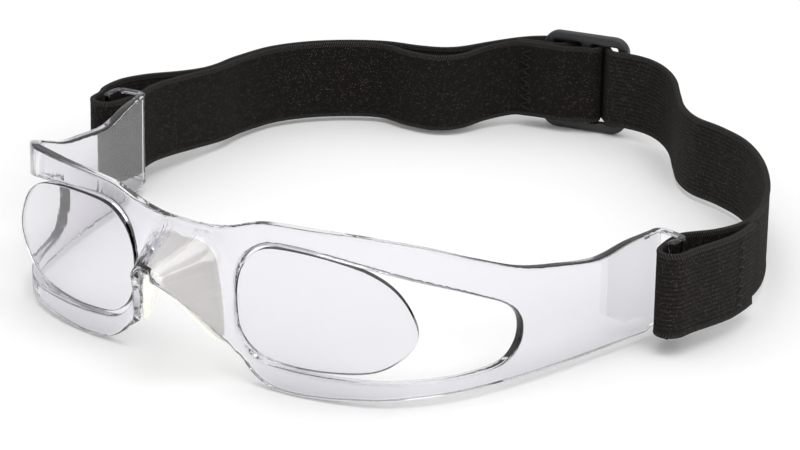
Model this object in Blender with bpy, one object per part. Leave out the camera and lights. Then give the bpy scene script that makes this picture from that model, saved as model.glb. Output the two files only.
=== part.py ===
"""Sports protective goggles: a clear one-piece wraparound frame with a beak over the nose, two oval
lenses, a soft nose pad, and an elastic strap that loops through a hook on each temple and is set by
a three-bar slider.

Metres, +Z up. The front of the goggles looks along -Y and the wearer's left is +X. The goggles
stand on the lower rim of the frame, and the origin is at the bottom centre of their box.
"""

import math

import bmesh
import bpy
from mathutils import Vector

MM = 0.001

# Sizes that the outlines below are drawn for, in millimetres; they stretch with the driving ones
TEMPLE_RUN = 133.1         # length of the frame's sheet from the middle to the hook
DRAWN_HALF_WIDTH = 77.5
DRAWN_DEPTH = 80.0
DRAWN_HOOK_HALF = 85.3     # half the width over both hooks

# Driving dimensions, in millimetres.
CLEARANCE = 0.3            # between pieces that touch

# Frame: one sheet of even thickness, wrapped round the face
WALL = 2.6                 # thickness of the moulded sheet
HALF_WIDTH = 77.5          # outer face of the temple at its rear end
FACE_DEPTH = 80.0          # from the brow's outer face back to the hooks
TEMPLE_HEIGHT = 25.4       # height of the top of the temple at the hook
HOOK_FOOT = 1.0            # height of the bottom of the hook
RIM_DIP = 1.8              # how far the rim under each eye dips below the temples
BROW_HEIGHT = 39.0         # highest point of the brow
RIM_HEIGHT = 4.2           # the bar under each eye opening
FRONT_Y = -15.2            # outer face of the brow at the middle

# Beak over the nose
BEAK_REACH = 14.7          # how far the tip stands ahead of the brow
BEAK_DROP = 5.2            # how far the ridge falls from brow to tip
BEAK_TOP = 32.2            # height of the ridge where it leaves the brow
CROWN = 33.8               # upper edge of the frame above the nose
TIP_HALF_WIDTH = 3.4       # half the width of the ridge at the tip
NOTCH_HALF_WIDTH = 15.2    # half the width of the nose notch at its foot
NOTCH_FOOT = 5.5           # height of the notch's foot
FLANK_LEAN = 0.22          # how much the notch narrows for each millimetre of height
LIP_BULGE = 1.1            # how much each side of the notch arches up
RIDGE_RADIUS = 6.2         # rounding of the ridge where it leaves the brow
RIDGE_TIP_RADIUS = 3.1     # and at the tip
FOLD_RADIUS = 1.5          # rounding where the beak leaves the brow

# Lenses
LENS_THICKNESS = 2.0
LENS_RADIUS = 94.9         # curve of the lens in plan
LENS_START_X = 13.9        # nasal end of the lens
LENS_SPAN = 43.8           # from the nasal end to the temporal end, across the face
LENS_SET_BACK = 0.2        # lens face behind the frame's face at the nasal end

# Nose pad
PAD_THICKNESS = 1.4
PAD_EDGE = 0.6             # its thickness at the front, where the beak narrows
PAD_REACH = 11.2           # how far the pad runs forward under the beak
PAD_WING = 2.6             # how far its wings run back behind the brow
PAD_LIFT = 0.2             # its foot above the foot of the notch

# Strap hooks
HOOK_WALL = 1.8            # the sheet thins down to this at the hook
HOOK_TAPER = 14.0          # the length over which it thins
HOOK_OUT = 7.8             # width of the hook over its outer leg
HOOK_LEG = 6.4             # how far the leg comes forward
HOOK_BEND = 0.9            # inside radius of the hook's two bends
WINDOW_SPARE = 0.6         # room above and below the strap in the window of a hook

# Strap
STRAP_WIDTH = 21.0
STRAP_THICKNESS = 1.2
STRAP_FALL = 3.4           # how much lower it lies at the back of the head

# Slider
SLIDER_LENGTH = 24.0       # along the strap
SLIDER_RAIL = 2.6          # height of the rails above and below the slots
SLIDER_CORNER = 4.2        # radius of its outer corners
SLIDER_SLOT_SPARE = 0.8    # slot height over the strap's width
SLIDER_BAR = 3.0           # width of each upright bar
SLIDER_THICKNESS = 2.6
SLIDER_X = -13.0           # where it sits, across and behind the hooks
SLIDER_BACK = 111.7
SLIDER_TURN = 13.0         # degrees, the run of the strap there
SLIDER_LIFT = 2.0          # how far the slider holds the strap off the table

# Stitching
THREAD = 0.5
STITCH_ROWS = 7            # turns of each zigzag


# ---------------------------------------------------------------- scene helpers

def clear_scene():
    for item in list(bpy.data.objects):
        bpy.data.objects.remove(item, do_unlink=True)


def make_material(name, colour, roughness, alpha=1.0, transmission=0.0):
    material = bpy.data.materials.new(name)
    material.use_nodes = True
    shader = material.node_tree.nodes["Principled BSDF"]
    shader.inputs["Base Color"].default_value = (*colour, 1.0)
    shader.inputs["Roughness"].default_value = roughness
    shader.inputs["Metallic"].default_value = 0.0
    shader.inputs["Alpha"].default_value = alpha
    shader.inputs["Transmission Weight"].default_value = transmission
    return material


def make_empty(name, location, parent=None):
    empty = bpy.data.objects.new(name, None)
    empty.empty_display_size = 10 * MM
    bpy.context.scene.collection.objects.link(empty)
    empty.parent = parent
    empty.location = Vector(location) * MM
    return empty


def add_object(name, bm, material, parent, anchor=(0.0, 0.0, 0.0)):
    """Turns a bmesh in millimetres into an object whose origin is at the anchor."""
    bmesh.ops.remove_doubles(bm, verts=bm.verts, dist=0.004)
    bmesh.ops.dissolve_degenerate(bm, edges=bm.edges, dist=0.004)
    bmesh.ops.recalc_face_normals(bm, faces=bm.faces)
    bmesh.ops.translate(bm, vec=-Vector(anchor), verts=bm.verts)
    bmesh.ops.scale(bm, vec=(MM, MM, MM), verts=bm.verts)
    mesh = bpy.data.meshes.new(name)
    bm.to_mesh(mesh)
    bm.free()
    mesh.shade_smooth()
    mesh.set_sharp_from_angle(angle=math.radians(35))
    mesh.materials.append(material)
    piece = bpy.data.objects.new(name, mesh)
    bpy.context.scene.collection.objects.link(piece)
    piece.parent = parent
    return piece


# ---------------------------------------------------------------- curves

def smooth_line(points, steps, closed=False):
    """A Catmull-Rom curve through the points, with a number of steps for each span."""
    count = len(points)
    vectors = [Vector(p) for p in points]

    def at(i):
        if closed:
            return vectors[i % count]
        if i < 0:
            return 2 * vectors[0] - vectors[1]
        if i >= count:
            return 2 * vectors[-1] - vectors[-2]
        return vectors[i]

    line = []
    for i in range(count if closed else count - 1):
        a, b, c, d = at(i - 1), at(i), at(i + 1), at(i + 2)
        for k in range(steps):
            t = k / steps
            line.append(0.5 * (2 * b + (c - a) * t + (2 * a - 5 * b + 4 * c - d) * t ** 2
                               + (3 * b - a - 3 * c + d) * t ** 3))
    if not closed:
        line.append(vectors[-1])
    return line


def arc_points(centre, radius, start, turn, steps):
    """Points along an arc; start and turn are in degrees."""
    points = []
    for k in range(1, steps + 1):
        angle = math.radians(start + turn * k / steps)
        points.append(Vector((centre[0] + radius * math.cos(angle),
                              centre[1] + radius * math.sin(angle))))
    return points


class Rail:
    """A curve in plan that is read by the distance along it, with a normal at each point."""

    def __init__(self, points):
        self.points = points
        self.lengths = [0.0]
        for a, b in zip(points, points[1:]):
            self.lengths.append(self.lengths[-1] + (b - a).length)
        self.total = self.lengths[-1]

    def at(self, distance):
        distance = min(max(distance, 0.0), self.total)
        low, high = 0, len(self.points) - 2
        while low < high:
            middle = (low + high + 1) // 2
            if self.lengths[middle] <= distance:
                low = middle
            else:
                high = middle - 1
        span = self.lengths[low + 1] - self.lengths[low]
        return self.points[low].lerp(self.points[low + 1], (distance - self.lengths[low]) / span)

    def inward(self, distance, reach=0.25):
        """Unit normal on the left of the curve: towards the wearer."""
        ahead = self.at(distance + reach) - self.at(distance - reach)
        return Vector((-ahead.y, ahead.x)).normalized()


# ---------------------------------------------------------------- the frame's layout

def wrap_points():
    """Plan of the frame's outer face from the middle of the brow to the rear of the left temple."""
    wide = HALF_WIDTH / DRAWN_HALF_WIDTH
    deep = FACE_DEPTH / DRAWN_DEPTH
    shape = [(0, 0), (10, 0), (20, 0.4), (30, 1.1), (40, 3.1), (50, 7.2), (56.5, 13.1), (61.4, 20),
             (65, 28.2), (69.5, 42.2), (74, 61.2), (DRAWN_HALF_WIDTH, DRAWN_DEPTH)]
    return [(x * wide, FRONT_Y + y * deep) for x, y in shape]


def frame_rail():
    """The outer face in plan, carried on round the strap hook."""
    line = smooth_line(wrap_points(), 8)
    end = line[-1]
    heading = math.degrees(math.atan2(end.y - line[-2].y, end.x - line[-2].x))
    side = Vector((math.cos(math.radians(heading - 90)), math.sin(math.radians(heading - 90))))
    centre = end + side * HOOK_BEND
    line += arc_points(centre, HOOK_BEND, heading + 90, -90, 6)
    flat = HOOK_OUT - 2 * HOOK_BEND - HOOK_WALL
    line.append(line[-1] + side * flat)
    back = Vector((side.y, -side.x))
    centre = line[-1] + back * HOOK_BEND
    line += arc_points(centre, HOOK_BEND, heading, -90, 6)
    line.append(line[-1] + back * (HOOK_LEG - HOOK_BEND - HOOK_WALL))
    return Rail(line), Rail(smooth_line(wrap_points(), 8)).total


def hook_layout(temple_end):
    """Distances along the frame's outer face at which the hook's stretches begin."""
    bend = HOOK_BEND * math.pi / 2
    flange = temple_end + bend
    leg = flange + (HOOK_OUT - 2 * HOOK_BEND - HOOK_WALL) + bend
    tip = leg + HOOK_LEG - HOOK_BEND - HOOK_WALL
    return flange, leg, tip


def top_edge(temple_end, tip):
    """Upper edge of the flat pattern, from the middle of the brow to the end of the hook."""
    run = temple_end / TEMPLE_RUN
    brow = BROW_HEIGHT
    shape = [(0, CROWN), (6, CROWN + 0.1), (13, CROWN + 1.5), (22.5, brow - 0.8), (38, brow),
             (51, brow - 0.5), (63, brow - 2.9), (76, brow - 7.4), (88, brow - 11.6),
             (100, brow - 13.9), (113, TEMPLE_HEIGHT - 2.0), (124, TEMPLE_HEIGHT - 0.6)]
    line = smooth_line([(s * run, z) for s, z in shape] + [(temple_end, TEMPLE_HEIGHT)], 5)
    return line + [Vector((tip, TEMPLE_HEIGHT))]


def bottom_edge(temple_end, tip):
    """Lower edge, from the beak's tip down the lip of the nose notch and back to the hook."""
    lip_top = BEAK_TOP - BEAK_DROP
    low = -RIM_DIP
    foot = [(NOTCH_HALF_WIDTH, NOTCH_FOOT), (NOTCH_HALF_WIDTH + 3.8, NOTCH_FOOT - 4.2),
            (NOTCH_HALF_WIDTH + 8.3, low + 0.7), (NOTCH_HALF_WIDTH + 14.8, low),
            (NOTCH_HALF_WIDTH + 23.0, low + 0.4), (NOTCH_HALF_WIDTH + 34.0, -0.6),
            (NOTCH_HALF_WIDTH + 48.0, 0.0), (NOTCH_HALF_WIDTH + 68.0, 0.0)]
    line = [Vector((0.0, lip_top)), Vector((TIP_HALF_WIDTH * 0.35, lip_top - 0.1))]
    line.append(Vector((TIP_HALF_WIDTH * 0.65, lip_top - 0.8)))
    steps = 16
    start = line[-1]
    for k in range(1, steps):
        rise = Vector((0.0, LIP_BULGE * math.sin(math.pi * k / steps)))
        line.append(start.lerp(Vector(foot[0]), k / steps) + rise)
    line += smooth_line(foot, 4)
    line.append(Vector((temple_end - 2.0, 0.0)))
    return line + [Vector((temple_end + 0.5, HOOK_FOOT)), Vector((tip, HOOK_FOOT))]


def opening_outline(temple_end):
    """The eye opening: round at the nose, and drawn out to a narrower end at the temple."""
    run = temple_end / TEMPLE_RUN
    low = RIM_HEIGHT
    high = BROW_HEIGHT - 5.5
    nose = NOTCH_HALF_WIDTH - 1.15
    shape = [(nose, 18.5), (nose + 0.6, 24.3), (nose + 3.1, 29.4), (nose + 7.9, high - 0.8),
             (nose + 15, high), (39.2 * run, high - 0.6), (51 * run, high - 2.6),
             (60 * run, high - 5.1), (69.6 * run, high - 8.2), (78 * run, high - 11.5),
             (84.3 * run, high - 14.4), (87.8 * run, 16.0), (88.8 * run, 12.4), (87.9 * run, 8.6),
             (84.5 * run, low + 1.2), (77 * run, low + 0.1), (60 * run, low), (42 * run, low),
             (nose + 15, low), (nose + 6, low + 1.2), (nose + 1.3, 10.6)]
    return smooth_line(shape, 5, closed=True)


def strap_bottom():
    """Height of the strap's lower edge where it passes the middle of a hook."""
    return (HOOK_FOOT + TEMPLE_HEIGHT - STRAP_WIDTH) / 2


def window_outline(flange, leg):
    """The strap's window in the hook's flange."""
    low = strap_bottom() - WINDOW_SPARE
    high = low + STRAP_WIDTH + 2 * WINDOW_SPARE
    start, end = flange - 0.6, leg - HOOK_BEND * math.pi / 2 - 0.2
    return [Vector(p) for p in ((start, low), (end, low), (end, high), (start, high))]


# ---------------------------------------------------------------- the beak

def beak_planes():
    """Unit normals and offsets of the beak's roof and of its flank on the positive side."""
    slope = BEAK_REACH / BEAK_DROP
    roof = Vector((0.0, -1.0, slope))
    tip_fold = NOTCH_HALF_WIDTH - FLANK_LEAN * (BEAK_TOP - BEAK_DROP - NOTCH_FOOT)
    rise = BEAK_REACH / (tip_fold - TIP_HALF_WIDTH)
    flank = Vector((rise, -1.0, rise * FLANK_LEAN))
    roof_point = Vector((0.0, FRONT_Y, BEAK_TOP))
    flank_point = Vector((NOTCH_HALF_WIDTH, FRONT_Y, NOTCH_FOOT))
    return (roof.normalized(), roof_point), (flank.normalized(), flank_point)


def ridge_radius(ahead):
    """Rounding of the ridge at a distance ahead of the brow."""
    share = min(max(ahead / BEAK_REACH, 0.0), 1.0)
    return RIDGE_RADIUS + (RIDGE_TIP_RADIUS - RIDGE_RADIUS) * share


def beak_field(point, planes):
    """Signed distance to the beak, positive outside."""
    (roof, roof_point), (flank, flank_point) = planes
    radius = ridge_radius(FRONT_Y - point.y)
    mirrored = Vector((abs(point.x), point.y, point.z))
    a = roof.dot(mirrored - roof_point)
    b = flank.dot(mirrored - flank_point)
    round_a = max(a + radius, 0.0)
    round_b = max(b + radius, 0.0)
    return min(-radius, max(a, b)) + math.hypot(round_a, round_b)


def front_field(point, planes):
    """The beak joined to the flat brow, with a rounded fold between them."""
    beak = beak_field(point, planes)
    brow = FRONT_Y - point.y
    inside_a = max(FOLD_RADIUS - beak, 0.0)
    inside_b = max(FOLD_RADIUS - brow, 0.0)
    return max(FOLD_RADIUS, min(beak, brow)) - math.hypot(inside_a, inside_b)


def front_y(x, z, planes):
    """How far forward the outer face stands at a point of the flat pattern."""
    near, far = FRONT_Y + 1.0, FRONT_Y - BEAK_REACH - 6.0
    for _ in range(30):
        middle = 0.5 * (near + far)
        if front_field(Vector((x, middle, z)), planes) < 0.0:
            near = middle
        else:
            far = middle
    return 0.5 * (near + far)


def front_normal(point, planes):
    step = 0.02
    slopes = []
    for axis in range(3):
        shift = Vector((0.0, 0.0, 0.0))
        shift[axis] = step
        slopes.append(front_field(point + shift, planes) - front_field(point - shift, planes))
    return Vector(slopes).normalized()


# ---------------------------------------------------------------- sheets cut from a flat pattern

def flat_sheet(outline, holes, lines_s, lines_z, thickness):
    """A flat pattern cut into a grid: x runs along the piece, y is height, z is depth."""
    bm = bmesh.new()
    edges = []
    for loop in [outline] + holes:
        verts = [bm.verts.new((p.x, p.y, 0.0)) for p in loop]
        for a, b in zip(verts, verts[1:] + verts[:1]):
            edges.append(bm.edges.new((a, b)))
    bmesh.ops.triangle_fill(bm, use_beauty=True, edges=edges)
    for value, normal in ([(s, (1.0, 0.0, 0.0)) for s in lines_s]
                          + [(z, (0.0, 1.0, 0.0)) for z in lines_z]):
        place = (value, 0.0, 0.0) if normal[0] else (0.0, value, 0.0)
        geometry = bm.verts[:] + bm.edges[:] + bm.faces[:]
        bmesh.ops.bisect_plane(bm, geom=geometry, dist=0.02, plane_co=place, plane_no=normal)
    bmesh.ops.dissolve_limit(bm, angle_limit=0.001, verts=bm.verts, edges=[
        e for e in bm.edges if not crosses_grid(e, lines_s, lines_z) and not e.is_boundary])
    faces = bm.faces[:]
    result = bmesh.ops.extrude_face_region(bm, geom=faces)
    moved = [v for v in result["geom"] if isinstance(v, bmesh.types.BMVert)]
    bmesh.ops.translate(bm, vec=(0.0, 0.0, thickness), verts=moved)
    return bm


def crosses_grid(edge, lines_s, lines_z):
    """True for an edge that lies on one of the grid's lines, which the bend needs."""
    a, b = edge.verts[0].co, edge.verts[1].co
    on_s = abs(a.x - b.x) < 0.03 and any(abs(a.x - s) < 0.03 for s in lines_s)
    on_z = abs(a.y - b.y) < 0.03 and any(abs(a.y - z) < 0.03 for z in lines_z)
    return on_s or on_z


def spaced(start, end, step):
    count = max(1, round((end - start) / step))
    return [start + (end - start) * k / count for k in range(count + 1)]


def mirrored_outline(top, bottom):
    """A closed outline from the right-hand halves of its top and bottom edges."""
    right = bottom + top[::-1]
    left = [Vector((-p.x, p.y)) for p in right[::-1]]
    outline = []
    for p in right + left:
        if not outline or (p - outline[-1]).length > 0.01:
            outline.append(p)
    if (outline[0] - outline[-1]).length < 0.01:
        outline.pop()
    return outline


def build_frame(material, parent):
    rail, temple_end = frame_rail()
    flange, leg, tip = hook_layout(temple_end)
    outline = mirrored_outline(top_edge(temple_end, tip), bottom_edge(temple_end, tip))
    holes = []
    for hole in (opening_outline(temple_end), window_outline(flange, leg)):
        holes.append(hole)
        holes.append([Vector((-p.x, p.y)) for p in hole])
    half = NOTCH_HALF_WIDTH + 2.0
    lines = spaced(0.0, half, 1.5) + spaced(half + 4.0, temple_end, 4.2)
    for start, end in ((temple_end, flange), (leg - HOOK_BEND * math.pi / 2, leg)):
        lines += spaced(start, end, 0.5)
    lines_s = sorted(set([round(v, 4) for v in lines] + [round(-v, 4) for v in lines]))
    lines_z = spaced(BEAK_TOP - 14.0, BEAK_TOP + 1.0, 1.25)
    bm = flat_sheet(outline, holes, lines_s, lines_z, WALL)
    planes = beak_planes()
    limit = half + 1.0
    for vert in bm.verts:
        s, z, depth = vert.co
        if abs(s) < limit:
            base = rail.at(abs(s))
            x = math.copysign(base.x, s)
            y = front_y(x, z, planes) + (base.y - FRONT_Y)
            normal = front_normal(Vector((x, y - (base.y - FRONT_Y), z)), planes)
            vert.co = Vector((x, y, z)) - normal * depth
        else:
            thinning = ease((abs(s) - temple_end) / HOOK_TAPER + 1.0)
            depth *= 1.0 - thinning * (1.0 - HOOK_WALL / WALL)
            flat = rail.at(abs(s)) + rail.inward(abs(s)) * depth
            vert.co = (math.copysign(flat.x, s), flat.y, z)
    return add_object("frame", bm, material, parent)


# ---------------------------------------------------------------- lenses

def lens_outline():
    """Outline of the left lens: distance from its nasal end across the face, and height."""
    wide = LENS_SPAN / 43.8
    high = BROW_HEIGHT - 5.5 - CLEARANCE
    low = RIM_HEIGHT + CLEARANCE
    shape = [(0.6, 18.5), (1.2, 24.1), (3.7, 28.9), (8.4, high - 1.0), (15.5, high - 0.2),
             (25, high - 0.9), (34.0, high - 3.2), (40.2, high - 7.9), (43.8, 17.4),
             (41.8, 11.6), (35.5, low + 2.2), (26, low + 0.5), (15.5, low + 0.3),
             (7, low + 1.7), (1.9, 10.8)]
    return smooth_line([(x * wide, z) for x, z in shape], 5, closed=True)


def build_lens(name, side, material, parent):
    outline = lens_outline()
    bm = flat_sheet(outline, [], spaced(2.0, LENS_SPAN - 1.0, 3.5), [], LENS_THICKNESS)
    for vert in bm.verts:
        across, z, depth = vert.co
        lean = math.asin(across / LENS_RADIUS)
        radius = LENS_RADIUS - depth
        x = LENS_START_X + radius * math.sin(lean)
        y = FRONT_Y + LENS_SET_BACK + LENS_RADIUS - radius * math.cos(lean)
        vert.co = (side * x, y, z)
    return add_object(name, bm, material, parent)


# ---------------------------------------------------------------- nose pad

def pad_section(ahead, sink, count):
    """Half of the pad's arch at one distance ahead of the brow, from the ridge to its foot."""
    (roof, roof_point), (flank, flank_point) = beak_planes()
    y = FRONT_Y - ahead
    roof_z = roof_point.z - (roof.y * (y - roof_point.y) + sink) / roof.z
    foot_z = NOTCH_FOOT + PAD_LIFT + (BEAK_TOP - BEAK_DROP - NOTCH_FOOT) * ahead / BEAK_REACH

    def flank_x(z):
        rest = flank.y * (y - flank_point.y) + flank.z * (z - flank_point.z) + sink
        return flank_point.x - rest / flank.x

    corner = Vector((flank_x(roof_z), roof_z))
    radius = min(1.4 * ridge_radius(ahead) - 1.06 * sink, corner.x)
    lean = math.atan2(flank.z, flank.x)
    half_turn = (math.pi / 2 - lean) / 2
    reach = radius * math.tan(half_turn)
    centre = Vector((corner.x - reach, roof_z - radius))
    points = [Vector((0.0, roof_z))]
    for k in range(5):
        angle = math.pi / 2 - 2 * half_turn * k / 4
        points.append(centre + radius * Vector((math.cos(angle), math.sin(angle))))
    start_z = points[-1].y
    for k in range(1, count + 1):
        z = start_z + (foot_z - start_z) * k / count
        points.append(Vector((flank_x(z), z)))
    return points


def pad_point(i, last, forward, inside):
    """A point of the pad: i counts from the ridge to the foot, forward runs from 0 to 1."""
    share = i / last
    wing = PAD_WING * math.sin(math.pi * share ** 0.7)
    depth = -wing + (PAD_REACH + wing) * forward
    thickness = PAD_THICKNESS + (PAD_EDGE - PAD_THICKNESS) * forward ** 2
    sink = WALL + CLEARANCE + (thickness if inside else 0.0)
    flat = pad_section(max(depth, 0.0), sink, last - 5)[i]
    return Vector((flat.x, FRONT_Y - depth, flat.y))


def build_pad(material, parent):
    """An arch that lines the beak, with wings that run back behind the brow."""
    last = 14
    bm = bmesh.new()
    layers = []
    for inside in (False, True):
        rows = []
        for forward in spaced(0.0, 1.0, 0.1):
            half = [pad_point(i, last, forward, inside) for i in range(last + 1)]
            full = [Vector((-p.x, p.y, p.z)) for p in half[:0:-1]] + half
            rows.append([bm.verts.new(p) for p in full])
        layers.append(rows)
    outer, inner = layers
    for rows in layers:
        for low, high in zip(rows, rows[1:]):
            for i in range(len(low) - 1):
                bm.faces.new((low[i], low[i + 1], high[i + 1], high[i]))
    for row_a, row_b in ((outer[0], inner[0]), (outer[-1], inner[-1])):
        for i in range(len(row_a) - 1):
            bm.faces.new((row_a[i], row_a[i + 1], row_b[i + 1], row_b[i]))
    for end in (0, -1):
        for k in range(len(outer) - 1):
            bm.faces.new((outer[k][end], outer[k + 1][end], inner[k + 1][end], inner[k][end]))
    return add_object("nose_pad", bm, material, parent)


# ---------------------------------------------------------------- strap

def hook_line():
    """How far back the middle of the hooks stands."""
    return FRONT_Y + FACE_DEPTH


def head_place(across, back):
    """A point in plan, behind the hooks; what is drawn here widens with the frame."""
    return (across * (HALF_WIDTH + HOOK_OUT) / DRAWN_HOOK_HALF, hook_line() + back)


def slider_place(along, out):
    """A point in plan from distances along the strap at the slider, and out from it."""
    turn = math.radians(SLIDER_TURN)
    x, y = head_place(SLIDER_X, SLIDER_BACK)
    return (x + along * math.cos(turn) - out * math.sin(turn),
            y + along * math.sin(turn) + out * math.cos(turn))


def hook_place(side, across, back):
    """A point in plan from distances out from, and behind, the tip of a hook's outer leg."""
    x = HALF_WIDTH + HOOK_OUT - HOOK_WALL / 2 + across
    y = hook_line() + HOOK_BEND + HOOK_WALL - HOOK_LEG + back
    return (side * x, y)


def strap_route():
    """Plan of the webbing from its end at the slider, round both hooks, to its other end."""
    pitch = STRAP_THICKNESS + 0.5
    near = SLIDER_THICKNESS / 2 + STRAP_THICKNESS / 2 + 0.4
    tail = [slider_place(-19.5, -near), slider_place(-15.5, -near), slider_place(-11.5, -near),
            slider_place(-7.0, -near + 0.4), slider_place(-4.4, near - 1.0),
            slider_place(-2.0, near), slider_place(0.6, near), slider_place(3.1, near - 1.0),
            slider_place(3.7, 0.0), slider_place(2.5, -near + 0.1)]
    under = [slider_place(-1.0, -near - 0.3), slider_place(-5.0, -near - pitch),
             slider_place(-10.0, -near - pitch), slider_place(-15.0, -near - pitch),
             slider_place(-19.5, -near - pitch - 0.3)]
    inner = [(-35.4, 96.2), (-37.8, 88.7), (-43, 83.8), (-51, 82.6), (-60, 83.2), (-68.5, 78.2),
             (-76, 70.6), (-81, 61.2), (-82.4, 50.2), (-81.6, 40.2), (-82, 30.2), (-82.5, 20.2),
             (-82.3, 12.2)]
    right_loop = [hook_place(-1, -3.9, 7.7), hook_place(-1, -3.6, 2.6), hook_place(-1, -2.7, -1.5),
                  hook_place(-1, 0.3, -3.5), hook_place(-1, 3.5, -1.6), hook_place(-1, 4.5, 3.1)]
    outer = [(-90.6, 3.2), (-91.3, 11.2), (-89.4, 19.2), (-85.7, 27.2), (-83.6, 34.2),
             (-83.3, 40.4), (-84.1, 50.2), (-82.6, 61.9), (-77.3, 71.8), (-69.4, 79.8),
             (-60.5, 85.5), (-51.0, 88.2), (-42.6, 92.4), (-36.6, 99.7), (-30.5, 107.0)]
    through = [slider_place(-12.0, near + 0.1), slider_place(-8.0, near + 0.2),
               slider_place(-3.5, near + pitch), slider_place(0.8, near + pitch + 0.1),
               slider_place(4.1, near + 0.5), slider_place(5.9, 0.3), slider_place(7.9, -near),
               slider_place(12.0, -near - 0.2)]
    single = [(6, 112.4), (12, 110.4), (18, 105.6), (24, 97.8), (30, 90.2), (37, 85), (46, 82.4),
              (56, 77.6), (66, 68.2), (75, 55.8), (82, 42.2), (86, 30.2), (87, 21.2), (85.2, 13.2)]
    left_loop = [hook_place(1, -3.5, 9.6), hook_place(1, -3.9, 5.6), hook_place(1, -3.5, 1.1),
                 hook_place(1, -2.4, -2.9), hook_place(1, 0.3, -4.3), hook_place(1, 3.0, -2.3),
                 hook_place(1, 3.9, 2.8)]
    end = [(89.8, 5.7), (90.6, 12.2), (90.0, 19.2), (88.9, 25.2)]
    return (tail + under + [head_place(x, y) for x, y in inner] + right_loop
            + [head_place(x, y) for x, y in outer] + through
            + [head_place(x, y) for x, y in single] + left_loop
            + [head_place(x, y) for x, y in end])


def strap_low(place):
    """Height of the strap's lower edge: it falls towards the back and the slider holds it up."""
    back = ease((place.y - hook_line()) / 60.0)
    spot = Vector(slider_place(0.0, 0.0))
    lifted = 1.0 - ease(((place - spot).length - SLIDER_LENGTH / 2) / 30.0)
    return strap_bottom() - STRAP_FALL * back + SLIDER_LIFT * lifted


def ease(t):
    t = min(max(t, 0.0), 1.0)
    return t * t * (3.0 - 2.0 * t)


def ribbon(bm, line, thickness, width):
    """A closed band that stands on edge along a line in plan."""
    rail = Rail(line)
    rings = []
    for distance in rail.lengths:
        place = rail.at(distance)
        low = strap_low(place)
        high = low + width
        side = rail.inward(distance, 0.3) * (thickness / 2)
        corners = ((place - side, low), (place + side, low), (place + side, high),
                   (place - side, high))
        rings.append([bm.verts.new((p.x, p.y, z)) for p, z in corners])
    for a, b in zip(rings, rings[1:]):
        for i in range(4):
            j = (i + 1) % 4
            bm.faces.new((a[i], a[j], b[j], b[i]))
    bm.faces.new(rings[0][::-1])
    bm.faces.new(rings[-1])


def build_strap(material, parent, anchor):
    bm = bmesh.new()
    line = smooth_line(strap_route(), 4)
    ribbon(bm, line, STRAP_THICKNESS, STRAP_WIDTH)
    return add_object("strap", bm, material, parent, anchor)


# ---------------------------------------------------------------- slider

def build_slider(material, parent, anchor):
    """Three upright bars between two rails, all in one moulding."""
    length, thick = SLIDER_LENGTH, SLIDER_THICKNESS
    strap_foot = strap_low(Vector(slider_place(0.0, 0.0)))
    slot_low = strap_foot - SLIDER_SLOT_SPARE / 2
    slot_high = strap_foot + STRAP_WIDTH + SLIDER_SLOT_SPARE / 2
    outline = rounded_box(-length / 2, length / 2, slot_low - SLIDER_RAIL,
                          slot_high + SLIDER_RAIL, SLIDER_CORNER)
    holes = []
    for side in (-1, 1):
        edges = sorted((side * SLIDER_BAR / 2, side * (length / 2 - SLIDER_BAR)))
        holes.append(rounded_box(edges[0], edges[1], slot_low, slot_high, 0.6))
    bm = flat_sheet([Vector(p) for p in outline], [[Vector(p) for p in h] for h in holes],
                    [], [], thick)
    for vert in bm.verts:
        along, z, depth = vert.co
        x, y = slider_place(along, depth - thick / 2)
        vert.co = (x, y, z)
    return add_object("strap_slider", bm, material, parent, anchor)


def rounded_box(left, right, low, high, radius):
    points = []
    corners = ((right - radius, low + radius, -90), (right - radius, high - radius, 0),
               (left + radius, high - radius, 90), (left + radius, low + radius, 180))
    for x, z, start in corners:
        points.append(Vector((x + radius * math.cos(math.radians(start)),
                              z + radius * math.sin(math.radians(start)))))
        points += arc_points((x, z), radius, start, 90, 5)
    return points


# ---------------------------------------------------------------- stitching

def build_stitching(name, middle, along, out, material, parent, anchor):
    """A zigzag of thread on the outer face of a seam, as one closed strand."""
    run = Vector(along).normalized()
    face = Vector(out).normalized()
    foot = strap_low(Vector(middle))
    low, high = foot + 2.0, foot + STRAP_WIDTH - 2.0
    half = 1.5
    count = STITCH_ROWS * 2
    rise = (high - low) / count
    slant = THREAD / 2 * math.hypot(2 * half, rise) / rise
    centre = Vector(middle) + face * (STRAP_THICKNESS / 2 + 0.15 + THREAD / 2)
    bm = bmesh.new()
    rings = []
    for k in range(count + 1):
        z = low + (high - low) * k / count
        place = centre + run * (half if k % 2 else -half)
        corners = ((-1, -1), (1, -1), (1, 1), (-1, 1))
        rings.append([bm.verts.new((*(place + face * (a * THREAD / 2) + run * (b * slant)), z))
                      for a, b in corners])
    for a, b in zip(rings, rings[1:]):
        for i in range(4):
            j = (i + 1) % 4
            bm.faces.new((a[i], a[j], b[j], b[i]))
    bm.faces.new(rings[0][::-1])
    bm.faces.new(rings[-1])
    return add_object(name, bm, material, parent, anchor)


# ---------------------------------------------------------------- assembly

def world_box(pieces):
    corners = [piece.matrix_world @ vert.co for piece in pieces for vert in piece.data.vertices]
    low = [min(c[i] for c in corners) for i in range(3)]
    high = [max(c[i] for c in corners) for i in range(3)]
    return low, high


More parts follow.
